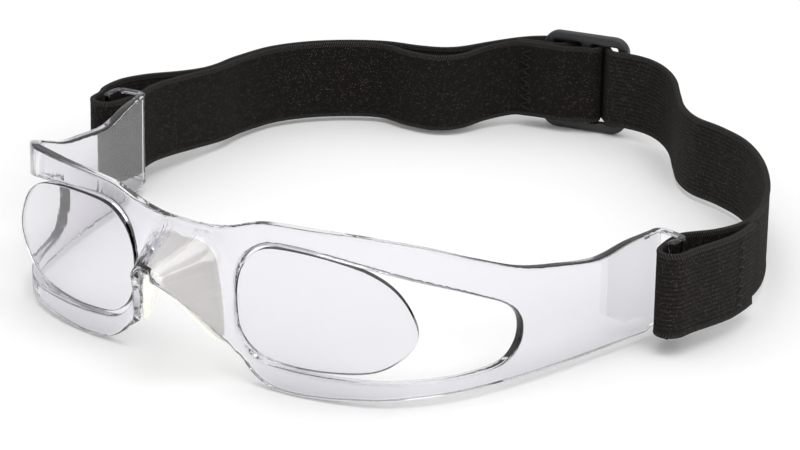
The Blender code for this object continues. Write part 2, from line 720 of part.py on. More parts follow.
def main():
    clear_scene()
    clear = make_material("clear_polycarbonate", (0.86, 0.88, 0.92), 0.05, 0.35, 1.0)
    lens = make_material("clear_lens", (0.84, 0.86, 0.90), 0.03, 0.35, 1.0)
    pad = make_material("soft_pad", (0.82, 0.81, 0.72), 0.30)
    webbing = make_material("elastic_webbing", (0.020, 0.017, 0.015), 0.85)
    plastic = make_material("slider_plastic", (0.012, 0.012, 0.013), 0.35)
    thread = make_material("thread", (0.025, 0.022, 0.02), 0.70)

    root = make_empty("goggles_origin", (0, 0, 0))
    leg_middle = hook_place(1, 0.0, (HOOK_LEG - HOOK_WALL) / 2)
    hook_axis = (0.0, leg_middle[1], strap_bottom() + STRAP_WIDTH / 2)
    strap_pivot = make_empty("strap_pivot", hook_axis, root)
    slider_spot = Vector((*slider_place(0.0, 0.0), hook_axis[2]))
    slider_guide = make_empty("slider_guide", slider_spot - Vector(hook_axis), strap_pivot)

    pieces = [build_frame(clear, root),
              build_lens("lens_left", 1, lens, root),
              build_lens("lens_right", -1, lens, root),
              build_pad(pad, root),
              build_strap(webbing, strap_pivot, hook_axis),
              build_slider(plastic, slider_guide, slider_spot),
              build_stitching("loop_stitching", head_place(90.35, 15.8), (-0.05, 1.0),
                              (1.0, 0.06), thread, strap_pivot, hook_axis)]
    near = SLIDER_THICKNESS / 2 + STRAP_THICKNESS * 1.5 + 0.9
    turn = math.radians(SLIDER_TURN)
    pieces.append(build_stitching("slider_stitching", slider_place(-15.5, -near),
                                  (math.cos(turn), math.sin(turn)),
                                  (math.sin(turn), -math.cos(turn)),
                                  thread, strap_pivot, hook_axis))
    bpy.context.view_layer.update()
    low, high = world_box(pieces)
    root.location = (-(low[0] + high[0]) / 2, -(low[1] + high[1]) / 2, -low[2])
    bpy.context.view_layer.update()


main()
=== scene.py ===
"""The finished look of the sports protective goggles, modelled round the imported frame.

Lengths in the functions below are millimetres in the goggles' own layout: the middle of the brow
is at x = 0, the front looks along -Y, and z = 0 is the lower edge of the temples. finish_piece
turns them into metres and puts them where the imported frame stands.
"""

import math

import bmesh
import bpy
from bpy.props import FloatProperty, FloatVectorProperty, PointerProperty
from bpy.types import Operator, Panel, PropertyGroup
from mathutils import Matrix, Vector


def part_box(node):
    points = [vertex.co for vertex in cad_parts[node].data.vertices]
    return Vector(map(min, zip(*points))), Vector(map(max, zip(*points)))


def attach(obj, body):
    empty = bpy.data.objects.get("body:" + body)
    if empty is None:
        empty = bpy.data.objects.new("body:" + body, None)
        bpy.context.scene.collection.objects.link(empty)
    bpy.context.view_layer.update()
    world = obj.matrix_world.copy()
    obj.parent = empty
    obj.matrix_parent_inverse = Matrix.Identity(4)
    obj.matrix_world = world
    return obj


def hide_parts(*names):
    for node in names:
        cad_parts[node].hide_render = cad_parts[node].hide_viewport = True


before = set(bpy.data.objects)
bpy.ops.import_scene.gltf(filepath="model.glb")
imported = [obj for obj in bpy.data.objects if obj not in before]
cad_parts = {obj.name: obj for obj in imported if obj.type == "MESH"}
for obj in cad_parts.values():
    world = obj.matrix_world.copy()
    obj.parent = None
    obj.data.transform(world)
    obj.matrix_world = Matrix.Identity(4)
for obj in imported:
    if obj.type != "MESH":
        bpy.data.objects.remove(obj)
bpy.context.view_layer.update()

bl_info = {
    "name": "Sports Protective Goggles",
    "version": (1, 0, 0),
    "blender": (4, 5, 0),
    "location": "3D View > Sidebar > Goggles",
    "description": "Clear wraparound goggles with a nose pad and an elastic strap",
    "category": "Add Mesh",
}

MM = 0.001

# The frame's layout. The plans below are drawn at the DRAWN_ sizes, and stretch with the others.
DRAWN_HALF_WIDTH = 77.5
DRAWN_DEPTH = 80.0
DRAWN_HOOK_HALF = 85.3
WALL = 2.6
HALF_WIDTH = 77.5
FACE_DEPTH = 80.0
TEMPLE_HEIGHT = 25.4
TEMPLE_RUN = 133.1
HOOK_FOOT = 1.0
RIM_DIP = 1.8
BROW_HEIGHT = 39.0
BROW_RIM = 5.5
RIM_HEIGHT = 4.2
FRONT_Y = -15.2

# The beak over the nose
BEAK_REACH = 14.7
BEAK_DROP = 5.2
BEAK_TOP = 32.2
CROWN = 33.8
TIP_HALF_WIDTH = 3.4
NOTCH_HALF_WIDTH = 15.2
NOTCH_FOOT = 5.5
FLANK_LEAN = 0.22
LIP_BULGE = 1.1
LIP_STEPS = 16
RIDGE_RADIUS = 6.2
RIDGE_TIP_RADIUS = 3.1
FOLD_RADIUS = 1.5

# Hooks: a bend out from the temple, a flange with the strap's window, a bend back, and a leg
HOOK_WALL = 1.8
HOOK_TAPER = 14.0
HOOK_OUT = 7.8
HOOK_LEG = 6.4
HOOK_BEND = 0.9
WINDOW_SPARE = 0.6
FLANGE_RUN = HOOK_OUT - 2 * HOOK_BEND - HOOK_WALL
LEG_RUN = HOOK_LEG - HOOK_BEND - HOOK_WALL
BEND_RUN = HOOK_BEND * math.pi / 2

# Distances between the lines along which the flat patterns are cut before they are bent
NOSE_STEP = 0.8
FACE_STEP = 1.6
LENS_STEP = 1.4
BEND_STEP = 0.28
WEBBING_STEP = 1.1

# Lenses
CLEARANCE = 0.3
LENS_THICKNESS = 2.0
LENS_RADIUS = 94.9
LENS_START_X = 13.9
DRAWN_LENS_SPAN = 43.8
LENS_SPAN = 43.8
LENS_SET_BACK = 0.2

# Nose pad: its flat pattern is a rounded box, PAD_HALF to each side and PAD_RUN from back to front
PAD_THICKNESS = 1.4
PAD_EDGE = 0.6
PAD_REACH = 11.2
PAD_WING = 2.6
PAD_LIFT = 0.2
PAD_HALF = 27.0
PAD_RUN = 14.0
PAD_CORNER = 2.6

# Strap
STRAP_WIDTH = 21.0
STRAP_THICKNESS = 1.2
STRAP_EDGE = 0.34
STRAP_ROWS = 18
STRAP_FALL = 3.4
STRAP_FALL_RUN = 60.0
SELVAGE_WIDTH = 1.3
LAYER_GAP = 0.5
BAR_GAP = 0.4

# Slider
SLIDER_LENGTH = 24.0
SLIDER_RAIL = 2.6
SLIDER_CORNER = 4.2
SLIDER_SLOT_CORNER = 0.6
SLIDER_EDGE = 0.7
SLIDER_SLOT_SPARE = 0.8
SLIDER_BAR = 3.0
SLIDER_THICKNESS = 2.6
SLIDER_X = -13.0
SLIDER_BACK = 111.7
SLIDER_TURN = 13.0
SLIDER_LIFT = 2.0
SLIDER_LIFT_RUN = 30.0

# Seams
SEAM_ROWS = 7
SEAM_HALF_WIDTH = 1.5
SEAM_MARGIN = 2.0
SEAM_LIFT = 0.15
STITCH_OVERLAP = 1.04
LOOP_SEAM_PLACE = (90.35, 15.8)
LOOP_SEAM_ALONG = (-0.05, 1.0)
LOOP_SEAM_OUT = (1.0, 0.06)
SLIDER_SEAM_ALONG = -15.5
THREAD_COLOUR = (0.009, 0.008, 0.0075)

# The webbing's pattern
LOOP_WIDTH = 0.62
LOOP_HEIGHT = 0.55
RIB_PITCH = 1.1
SPECK_PITCH = 0.40
OVERLOCK_WIDTH = 1.15

# The studio: powers are watts, and places and sizes metres
HORIZON_COLOUR = (0.38, 0.40, 0.45, 1.0)
SKY_COLOUR = (1.0, 1.0, 1.0, 1.0)
HORIZON_END, SKY_START = 0.03, 0.36
SKY_STRENGTH = 0.80
FLOOR_HALF_SIZE = 6.0
FLOOR_DROP = 0.0002
LIGHTS = (
    # name, place, target, size, power
    ("Overhead softbox", (0.25, -0.2, 1.3), (0.0, 0.0, 0.0), 1.1, 6.5),
    ("Left softbox", (1.2, -0.5, 0.8), (0.0, 0.0, 0.02), 0.7, 3.0),
    ("Front softbox", (0.55, -0.75, 0.55), (0.0, -0.09, 0.03), 0.45, 0.5),
)

# The camera: its place round the goggles, and how far to the right and up it then looks
CAMERA_AZIMUTH = 37.5
CAMERA_ELEVATION = 23.5
CAMERA_DISTANCE = 0.900
CAMERA_AIM_DROP = 8.0
CAMERA_LENS = 172.935
CAMERA_SENSOR = 36.0
CAMERA_LOOK_RIGHT = 0.0458
CAMERA_LOOK_UP = 0.03747


def layout_shift():
    """Where the layout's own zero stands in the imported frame."""
    low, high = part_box("frame")
    lens_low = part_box("lens_left")[0]
    return Vector(((low[0] + high[0]) / 2, lens_low[1] - (FRONT_Y + LENS_SET_BACK) * MM,
                   low[2] + RIM_DIP * MM))


SHIFT = layout_shift()


# ---------------------------------------------------------------- what a user may change

class GogglesShape(PropertyGroup):
    edge_round: FloatProperty(
        name="Edge rounding", description="Radius of the frame's polished edges",
        default=0.0007, min=0.0001, max=0.0012, unit="LENGTH")
    lens_round: FloatProperty(
        name="Lens edge rounding", description="Radius of the edge of each lens",
        default=0.00035, min=0.0001, max=0.0008, unit="LENGTH")
    pad_round: FloatProperty(
        name="Pad edge rounding", description="Radius of the nose pad's edges",
        default=0.00045, min=0.0001, max=0.0006, unit="LENGTH")
    webbing_bead: FloatProperty(
        name="Selvage bead", description="How much thicker the webbing is along its edges",
        default=0.00012, min=0.0, max=0.0003, unit="LENGTH")
    stitch_pitch: FloatProperty(
        name="Overlock pitch", description="Distance between the stitches over the webbing's edges",
        default=0.00062, min=0.0003, max=0.003, unit="LENGTH")
    thread: FloatProperty(
        name="Thread thickness", description="Diameter of the sewing thread",
        default=0.00034, min=0.0001, max=0.0006, unit="LENGTH")


class GogglesColours(PropertyGroup):
    shell: FloatVectorProperty(
        name="Frame tint", description="Tint that each face of the clear frame gives the light",
        default=(0.858, 0.848, 0.882), size=3, min=0.0, max=1.0, subtype="COLOR")
    lens: FloatVectorProperty(
        name="Lens tint", description="Tint that each face of a lens gives the light",
        default=(0.842, 0.832, 0.862), size=3, min=0.0, max=1.0, subtype="COLOR")
    pad: FloatVectorProperty(
        name="Nose pad", description="Colour of the soft nose pad",
        default=(0.97, 0.955, 0.87), size=3, min=0.0, max=1.0, subtype="COLOR")
    webbing: FloatVectorProperty(
        name="Webbing", description="Ground colour of the elastic webbing",
        default=(0.0050, 0.0038, 0.0031), size=3, min=0.0, max=1.0, subtype="COLOR")
    # painted highlight colour: the loops, rib crests and specks that are lightened towards it stand
    # for light the yarn catches
    yarn_highlight: FloatVectorProperty(
        name="Yarn highlights", description="Colour of the knitted loops that catch the light",
        default=(0.075, 0.069, 0.063), size=3, min=0.0, max=1.0, subtype="COLOR")
    overlock: FloatVectorProperty(
        name="Overlock thread", description="Colour of the stitches over the webbing's edges",
        default=(0.046, 0.044, 0.042), size=3, min=0.0, max=1.0, subtype="COLOR")
    slider: FloatVectorProperty(
        name="Slider", description="Colour of the moulded slider",
        default=(0.016, 0.016, 0.017), size=3, min=0.0, max=1.0, subtype="COLOR")
    floor: FloatVectorProperty(
        name="Floor", description="Colour of the studio floor",
        default=(0.93, 0.93, 0.93), size=3, min=0.0, max=1.0, subtype="COLOR")


# ---------------------------------------------------------------- curves in plan

def ease(t):
    """Rises from 0 to 1, gently at both ends."""
    t = min(max(t, 0.0), 1.0)
    return t * t * (3.0 - 2.0 * t)


def spaced(start, end, step):
    """Evenly spaced values from start to end, about one step apart."""
    count = max(1, round((end - start) / step))
    return [start + (end - start) * k / count for k in range(count + 1)]


def smooth_line(points, steps, closed=False):
    """A Catmull-Rom curve through the points, with a number of steps for each span."""
    count = len(points)
    vectors = [Vector(p) for p in points]

    def at(i):
        if closed:
            return vectors[i % count]
        if i < 0:
            return 2 * vectors[0] - vectors[1]
        if i >= count:
            return 2 * vectors[-1] - vectors[-2]
        return vectors[i]

    line = []
    for i in range(count if closed else count - 1):
        a, b, c, d = at(i - 1), at(i), at(i + 1), at(i + 2)
        for k in range(steps):
            t = k / steps
            line.append(0.5 * (2 * b + (c - a) * t + (2 * a - 5 * b + 4 * c - d) * t ** 2
                               + (3 * b - a - 3 * c + d) * t ** 3))
    if not closed:
        line.append(vectors[-1])
    return line


def arc_points(centre, radius, start, turn, steps):
    """Points along an arc; start and turn are in degrees."""
    points = []
    for k in range(1, steps + 1):
        angle = math.radians(start + turn * k / steps)
        points.append(Vector((centre[0] + radius * math.cos(angle),
                              centre[1] + radius * math.sin(angle))))
    return points


def rounded_box(left, right, low, high, radius, steps):
    """Outline of a box with rounded corners."""
    points = []
    corners = ((right - radius, low + radius, -90), (right - radius, high - radius, 0),
               (left + radius, high - radius, 90), (left + radius, low + radius, 180))
    for x, z, start in corners:
        points.append(Vector((x + radius * math.cos(math.radians(start)),
                              z + radius * math.sin(math.radians(start)))))
        points += arc_points((x, z), radius, start, 90, steps)
    return points


class Rail:
    """A curve in plan that is read by the distance along it, with a normal at each point."""

    def __init__(self, points):
        self.points = points
        self.lengths = [0.0]
        for a, b in zip(points, points[1:]):
            self.lengths.append(self.lengths[-1] + (b - a).length)
        self.total = self.lengths[-1]

    def at(self, distance):
        distance = min(max(distance, 0.0), self.total)
        low, high = 0, len(self.points) - 2
        while low < high:
            middle = (low + high + 1) // 2
            if self.lengths[middle] <= distance:
                low = middle
            else:
                high = middle - 1
        span = self.lengths[low + 1] - self.lengths[low]
        return self.points[low].lerp(self.points[low + 1], (distance - self.lengths[low]) / span)

    def inward(self, distance, reach):
        """Unit normal on the left of the curve: towards the wearer on the frame."""
        ahead = self.at(distance + reach) - self.at(distance - reach)
        return Vector((-ahead.y, ahead.x)).normalized()


# ---------------------------------------------------------------- meshes

def rounded_plate(bm, thickness, rounding, steps=3):
    """Turns the flat faces in a bmesh, at z = 0, into a plate whose edges are rounded."""
    front = bm.faces[:]
    bmesh.ops.translate(bm, vec=(0.0, 0.0, rounding), verts=bm.verts)
    result = bmesh.ops.extrude_face_region(bm, geom=front)
    moved = [v for v in result["geom"] if isinstance(v, bmesh.types.BMVert)]
    back = [f for f in result["geom"] if isinstance(f, bmesh.types.BMFace)]
    bmesh.ops.translate(bm, vec=(0.0, 0.0, thickness - 2 * rounding), verts=moved)
    bmesh.ops.recalc_face_normals(bm, faces=bm.faces)
    for side in (front, back):
        for k in range(steps):
            low, high = (math.pi / 2 * (k + j) / steps for j in (0, 1))
            bmesh.ops.inset_region(bm, faces=side, use_boundary=True, use_even_offset=True,
                                   thickness=rounding * (math.cos(low) - math.cos(high)),
                                   depth=rounding * (math.sin(high) - math.sin(low)))


def whole(bm):
    return bm.verts[:] + bm.edges[:] + bm.faces[:]


def fill_outline(bm, loops):
    """Fills flat outlines; the first loop is the edge and the others are holes."""
    edges = []
    for loop in loops:
        verts = [bm.verts.new((p.x, p.y, 0.0)) for p in loop]
        for a, b in zip(verts, verts[1:] + verts[:1]):
            edges.append(bm.edges.new((a, b)))
    bmesh.ops.triangle_fill(bm, use_beauty=True, edges=edges)


def cut_grid(bm, lines_s, lines_z):
    """Cuts a flat pattern along lines, so that it can be bent."""
    for value, normal in ([(s, (1.0, 0.0, 0.0)) for s in lines_s]
                          + [(z, (0.0, 1.0, 0.0)) for z in lines_z]):
        place = (value, 0.0, 0.0) if normal[0] else (0.0, value, 0.0)
        bmesh.ops.bisect_plane(bm, geom=whole(bm), dist=0.004, plane_co=place, plane_no=normal)


def finish_piece(name, bm, material, body, replaced=()):
    """Makes a piece of a bmesh in millimetres, and says what it rides on and stands for."""
    bmesh.ops.scale(bm, vec=(MM, MM, MM), verts=bm.verts)
    bmesh.ops.translate(bm, vec=SHIFT, verts=bm.verts)
    bmesh.ops.recalc_face_normals(bm, faces=bm.faces)
    mesh = bpy.data.meshes.new(name)
    bm.to_mesh(mesh)
    bm.free()
    mesh.shade_smooth()
    mesh.materials.append(material)
    piece = bpy.data.objects.new(name, mesh)
    bpy.context.scene.collection.objects.link(piece)
    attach(piece, body)
    if replaced:
        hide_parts(*replaced)
    return piece


def even_shading(piece):
    """Lets the broad faces set the shading, so that rounded edges don't dent them."""
    weights = piece.modifiers.new("Even shading", "WEIGHTED_NORMAL")
    weights.mode = "FACE_AREA"
    weights.weight = 100


# ---------------------------------------------------------------- the frame

def wrap_points():
    """Plan of the frame's outer face from the middle of the brow to the rear of the left temple."""
    wide = HALF_WIDTH / DRAWN_HALF_WIDTH
    deep = FACE_DEPTH / DRAWN_DEPTH
    shape = [(0, 0), (10, 0), (20, 0.4), (30, 1.1), (40, 3.1), (50, 7.2), (56.5, 13.1), (61.4, 20),
             (65, 28.2), (69.5, 42.2), (74, 61.2), (DRAWN_HALF_WIDTH, DRAWN_DEPTH)]
    return [(x * wide, FRONT_Y + y * deep) for x, y in shape]


def frame_rail():
    """The outer face in plan, carried on round the strap hook, and the temple's length."""
    line = smooth_line(wrap_points(), 8)
    temple_end = Rail(line).total
    end = line[-1]
    heading = math.degrees(math.atan2(end.y - line[-2].y, end.x - line[-2].x))
    side = Vector((math.cos(math.radians(heading - 90)), math.sin(math.radians(heading - 90))))
    centre = end + side * HOOK_BEND
    line += arc_points(centre, HOOK_BEND, heading + 90, -90, 6)
    line.append(line[-1] + side * FLANGE_RUN)
    back = Vector((side.y, -side.x))
    centre = line[-1] + back * HOOK_BEND
    line += arc_points(centre, HOOK_BEND, heading, -90, 6)
    line.append(line[-1] + back * LEG_RUN)
    return Rail(line), temple_end


def hook_layout(temple_end):
    """Distances along the frame's outer face at which the hook's stretches begin."""
    flange = temple_end + BEND_RUN
    leg = flange + FLANGE_RUN + BEND_RUN
    return flange, leg, leg + LEG_RUN


def top_edge(temple_end, tip):
    """Upper edge of the flat pattern, from the middle of the brow to the end of the hook."""
    run = temple_end / TEMPLE_RUN
    brow = BROW_HEIGHT
    shape = [(0, CROWN), (6, CROWN + 0.1), (13, CROWN + 1.5), (22.5, brow - 0.8), (38, brow),
             (51, brow - 0.5), (63, brow - 2.9), (76, brow - 7.4), (88, brow - 11.6),
             (100, brow - 13.9), (113, TEMPLE_HEIGHT - 2.0), (124, TEMPLE_HEIGHT - 0.6)]
    line = smooth_line([(s * run, z) for s, z in shape] + [(temple_end, TEMPLE_HEIGHT)], 9)
    return line + [Vector((tip, TEMPLE_HEIGHT))]


def bottom_edge(temple_end, tip):
    """Lower edge, from the beak's tip down the lip of the nose notch and back to the hook."""
    lip_top = BEAK_TOP - BEAK_DROP
    low = -RIM_DIP
    foot = [(NOTCH_HALF_WIDTH, NOTCH_FOOT), (NOTCH_HALF_WIDTH + 3.8, NOTCH_FOOT - 4.2),
            (NOTCH_HALF_WIDTH + 8.3, low + 0.7), (NOTCH_HALF_WIDTH + 14.8, low),
            (NOTCH_HALF_WIDTH + 23.0, low + 0.4), (NOTCH_HALF_WIDTH + 34.0, -0.6),
            (NOTCH_HALF_WIDTH + 48.0, 0.0), (NOTCH_HALF_WIDTH + 68.0, 0.0)]
    line = [Vector((0.0, lip_top)), Vector((TIP_HALF_WIDTH * 0.35, lip_top - 0.1))]
    line.append(Vector((TIP_HALF_WIDTH * 0.65, lip_top - 0.8)))
    start = line[-1]
    for k in range(1, LIP_STEPS):
        rise = Vector((0.0, LIP_BULGE * math.sin(math.pi * k / LIP_STEPS)))
        line.append(start.lerp(Vector(foot[0]), k / LIP_STEPS) + rise)
    line += smooth_line(foot, 8)
    line.append(Vector((temple_end - 2.0, 0.0)))
    return line + [Vector((temple_end + 0.5, HOOK_FOOT)), Vector((tip, HOOK_FOOT))]


def opening_outline(temple_end):
    """The eye opening: round at the nose, and drawn out to a narrower end at the temple."""
    run = temple_end / TEMPLE_RUN
    low = RIM_HEIGHT
    high = BROW_HEIGHT - BROW_RIM
    nose = NOTCH_HALF_WIDTH - 1.15
    shape = [(nose, 18.5), (nose + 0.6, 24.3), (nose + 3.1, 29.4), (nose + 7.9, high - 0.8),
             (nose + 15, high), (39.2 * run, high - 0.6), (51 * run, high - 2.6),
             (60 * run, high - 5.1), (69.6 * run, high - 8.2), (78 * run, high - 11.5),
             (84.3 * run, high - 14.4), (87.8 * run, 16.0), (88.8 * run, 12.4), (87.9 * run, 8.6),
             (84.5 * run, low + 1.2), (77 * run, low + 0.1), (60 * run, low), (42 * run, low),
             (nose + 15, low), (nose + 6, low + 1.2), (nose + 1.3, 10.6)]
    return smooth_line(shape, 8, closed=True)


def strap_bottom():
    """Height of the strap's lower edge where it passes the middle of a hook."""
    return (HOOK_FOOT + TEMPLE_HEIGHT - STRAP_WIDTH) / 2


def window_outline(flange, leg):
    """The strap's window in the hook's flange."""
    low = strap_bottom() - WINDOW_SPARE
    high = low + STRAP_WIDTH + 2 * WINDOW_SPARE
    start, end = flange - 0.6, leg - BEND_RUN - 0.2
    return [Vector(p) for p in ((start, low), (end, low), (end, high), (start, high))]


def mirrored_outline(top, bottom):
    """A closed outline from the right-hand halves of its top and bottom edges."""
    right = bottom + top[::-1]
    left = [Vector((-p.x, p.y)) for p in right[::-1]]
    outline = []
    for p in right + left:
        if not outline or (p - outline[-1]).length > 0.01:
            outline.append(p)
    if (outline[0] - outline[-1]).length < 0.01:
        outline.pop()
    return outline


def beak_planes():
    """Unit normals and points of the beak's roof and of its flank on the positive side."""
    slope = BEAK_REACH / BEAK_DROP
    roof = Vector((0.0, -1.0, slope))
    tip_fold = NOTCH_HALF_WIDTH - FLANK_LEAN * (BEAK_TOP - BEAK_DROP - NOTCH_FOOT)
    rise = BEAK_REACH / (tip_fold - TIP_HALF_WIDTH)
    flank = Vector((rise, -1.0, rise * FLANK_LEAN))
    roof_point = Vector((0.0, FRONT_Y, BEAK_TOP))
    flank_point = Vector((NOTCH_HALF_WIDTH, FRONT_Y, NOTCH_FOOT))
    return (roof.normalized(), roof_point), (flank.normalized(), flank_point)


def ridge_radius(ahead):
    """Rounding of the ridge at a distance ahead of the brow."""
    share = min(max(ahead / BEAK_REACH, 0.0), 1.0)
    return RIDGE_RADIUS + (RIDGE_TIP_RADIUS - RIDGE_RADIUS) * share


def front_field(point, planes):
    """Signed distance to the beak joined to the flat brow, with its ridge and folds rounded."""
    (roof, roof_point), (flank, flank_point) = planes
    mirrored = Vector((abs(point.x), point.y, point.z))
    a = roof.dot(mirrored - roof_point)
    b = flank.dot(mirrored - flank_point)
    radius = ridge_radius(FRONT_Y - point.y)
    ridge = math.hypot(max(a + radius, 0.0), max(b + radius, 0.0))
    beak = min(-radius, max(a, b)) + ridge
    brow = FRONT_Y - point.y
    fold = math.hypot(max(FOLD_RADIUS - beak, 0.0), max(FOLD_RADIUS - brow, 0.0))
    return max(FOLD_RADIUS, min(beak, brow)) - fold


def front_y(x, z, planes):
    """How far forward the outer face stands at a point of the flat pattern."""
    near, far = FRONT_Y + 1.0, FRONT_Y - BEAK_REACH - 6.0
    for _ in range(26):
        middle = 0.5 * (near + far)
        if front_field(Vector((x, middle, z)), planes) < 0.0:
            near = middle
        else:
            far = middle
    return 0.5 * (near + far)


def front_normal(point, planes):
    """Unit normal of the outer face near the nose, looking forward and out."""
    step = 0.02
    slopes = []
    for axis in range(3):
        shift = Vector((0.0, 0.0, 0.0))
        shift[axis] = step
        slopes.append(front_field(point + shift, planes) - front_field(point - shift, planes))
    return Vector(slopes).normalized()


def bend_frame(bm, rail, temple_end, nose_limit):
    """Bends the flat pattern round the face, over the nose and round the hooks."""
    planes = beak_planes()
    spots = {}
    for vert in bm.verts:
        s, z, depth = vert.co
        if s < nose_limit:
            base = rail.at(s)
            key = (round(base.x, 3), round(z, 3))
            if key not in spots:
                y = front_y(base.x, z, planes)
                spots[key] = (y, front_normal(Vector((base.x, y, z)), planes))
            y, normal = spots[key]
            vert.co = Vector((base.x, y + base.y - FRONT_Y, z)) - normal * depth
        else:
            thinning = ease((s - temple_end) / HOOK_TAPER + 1.0)
            depth *= 1.0 - thinning * (1.0 - HOOK_WALL / WALL)
            flat = rail.at(s) + rail.inward(s, 0.25) * depth
            vert.co = (flat.x, flat.y, z)


def build_frame(rounding):
    rail, temple_end = frame_rail()
    flange, leg, tip = hook_layout(temple_end)
    outline = mirrored_outline(top_edge(temple_end, tip), bottom_edge(temple_end, tip))
    loops = [outline]
    for hole in (opening_outline(temple_end), window_outline(flange, leg)):
        loops.append(hole)
        loops.append([Vector((-p.x, p.y)) for p in hole])
    bm = bmesh.new()
    fill_outline(bm, loops)
    rounded_plate(bm, WALL, rounding)
    bmesh.ops.bisect_plane(bm, geom=whole(bm), dist=0.001, plane_co=(0.0, 0.0, 0.0),
                           plane_no=(1.0, 0.0, 0.0), clear_inner=True)
    nose = NOTCH_HALF_WIDTH + 2.0
    lines_s = spaced(NOSE_STEP, nose, NOSE_STEP)
    lines_s += spaced(nose + FACE_STEP, temple_end - 1.0, FACE_STEP)
    for start, end in ((temple_end, flange), (leg - BEND_RUN, leg)):
        lines_s += spaced(start, end, BEND_STEP)
    cut_grid(bm, lines_s, spaced(BEAK_TOP - 16.0, BEAK_TOP + 1.4, NOSE_STEP))
    bend_frame(bm, rail, temple_end, nose + 1.0)
    bmesh.ops.mirror(bm, geom=whole(bm), axis="X", merge_dist=0.001, matrix=Matrix.Identity(4))
    bmesh.ops.remove_doubles(bm, verts=bm.verts, dist=0.002)
    return bm


# ---------------------------------------------------------------- lenses

def lens_outline():
    """Outline of the left lens: distance from its nasal end across the face, and height."""
    wide = LENS_SPAN / DRAWN_LENS_SPAN
    high = BROW_HEIGHT - BROW_RIM - CLEARANCE
    low = RIM_HEIGHT + CLEARANCE
    shape = [(0.6, 18.5), (1.2, 24.1), (3.7, 28.9), (8.4, high - 1.0), (15.5, high - 0.2),
             (25, high - 0.9), (34.0, high - 3.2), (40.2, high - 7.9), (43.8, 17.4),
             (41.8, 11.6), (35.5, low + 2.2), (26, low + 0.5), (15.5, low + 0.3),
             (7, low + 1.7), (1.9, 10.8)]
    return smooth_line([(x * wide, z) for x, z in shape], 9, closed=True)


def build_lens(side, rounding):
    bm = bmesh.new()
    fill_outline(bm, [lens_outline()])
    rounded_plate(bm, LENS_THICKNESS, rounding)
    cut_grid(bm, spaced(LENS_STEP, LENS_SPAN - 0.6, LENS_STEP), [])
    for vert in bm.verts:
        across, z, depth = vert.co
        lean = math.asin(across / LENS_RADIUS)
        radius = LENS_RADIUS - depth
        x = LENS_START_X + radius * math.sin(lean)
        y = FRONT_Y + LENS_SET_BACK + LENS_RADIUS - radius * math.cos(lean)
        vert.co = (side * x, y, z)
    return bm


# ---------------------------------------------------------------- nose pad

def pad_section(ahead, sink, planes):
    """Half of the pad's arch at one distance ahead of the brow, from the ridge to its foot."""
    (roof, roof_point), (flank, flank_point) = planes
    y = FRONT_Y - ahead
    roof_z = roof_point.z - (roof.y * (y - roof_point.y) + sink) / roof.z
    foot_z = NOTCH_FOOT + PAD_LIFT + (BEAK_TOP - BEAK_DROP - NOTCH_FOOT) * ahead / BEAK_REACH

    def flank_x(z):
        rest = flank.y * (y - flank_point.y) + flank.z * (z - flank_point.z) + sink
        return flank_point.x - rest / flank.x

    corner = Vector((flank_x(roof_z), roof_z))
    radius = min(1.4 * ridge_radius(ahead) - 1.06 * sink, corner.x)
    lean = math.atan2(flank.z, flank.x)
    half_turn = (math.pi / 2 - lean) / 2
    centre = Vector((corner.x - radius * math.tan(half_turn), roof_z - radius))
    points = [Vector((0.0, roof_z))]
    for k in range(9):
        angle = math.pi / 2 - 2 * half_turn * k / 8
        points.append(centre + radius * Vector((math.cos(angle), math.sin(angle))))
    points.append(Vector((flank_x(foot_z), foot_z)))
    return Rail(points)


def build_pad(rounding):
    """An arch that lines the beak, with wings that run back behind the brow."""
    planes = beak_planes()
    bm = bmesh.new()
    fill_outline(bm, [rounded_box(-PAD_HALF, PAD_HALF, 0.0, PAD_RUN, PAD_CORNER, 6)])
    rounded_plate(bm, PAD_THICKNESS, rounding)
    cut_grid(bm, spaced(-PAD_HALF + NOSE_STEP, PAD_HALF - NOSE_STEP, NOSE_STEP),
             spaced(NOSE_STEP, PAD_RUN - NOSE_STEP, NOSE_STEP))
    for vert in bm.verts:
        along, ahead, inside = vert.co
        share, forward = min(abs(along) / PAD_HALF, 1.0), ahead / PAD_RUN
        wing = PAD_WING * math.sin(math.pi * share ** 0.7)
        depth = -wing + (PAD_REACH + wing) * forward
        thickness = PAD_THICKNESS + (PAD_EDGE - PAD_THICKNESS) * forward ** 2
        sink = WALL + CLEARANCE + thickness * inside / PAD_THICKNESS
        section = pad_section(max(depth, 0.0), sink, planes)
        flat = section.at(section.total * share)
        vert.co = (math.copysign(flat.x, along), FRONT_Y - depth, flat.y)
    return bm


# ---------------------------------------------------------------- strap

def hook_line():
    """How far back the middle of the hooks stands."""
    return FRONT_Y + FACE_DEPTH


def head_place(across, back):
    """A point in plan, behind the hooks; what is drawn here widens with the frame."""
    return (across * (HALF_WIDTH + HOOK_OUT) / DRAWN_HOOK_HALF, hook_line() + back)


def slider_place(along, out):
    """A point in plan from distances along the strap at the slider, and out from it."""
    turn = math.radians(SLIDER_TURN)
    x, y = head_place(SLIDER_X, SLIDER_BACK)
    return (x + along * math.cos(turn) - out * math.sin(turn),
            y + along * math.sin(turn) + out * math.cos(turn))


def hook_place(side, across, back):
    """A point in plan from distances out from, and behind, the tip of a hook's outer leg."""
    x = HALF_WIDTH + HOOK_OUT - HOOK_WALL / 2 + across
    y = hook_line() + HOOK_BEND + HOOK_WALL - HOOK_LEG + back
    return (side * x, y)


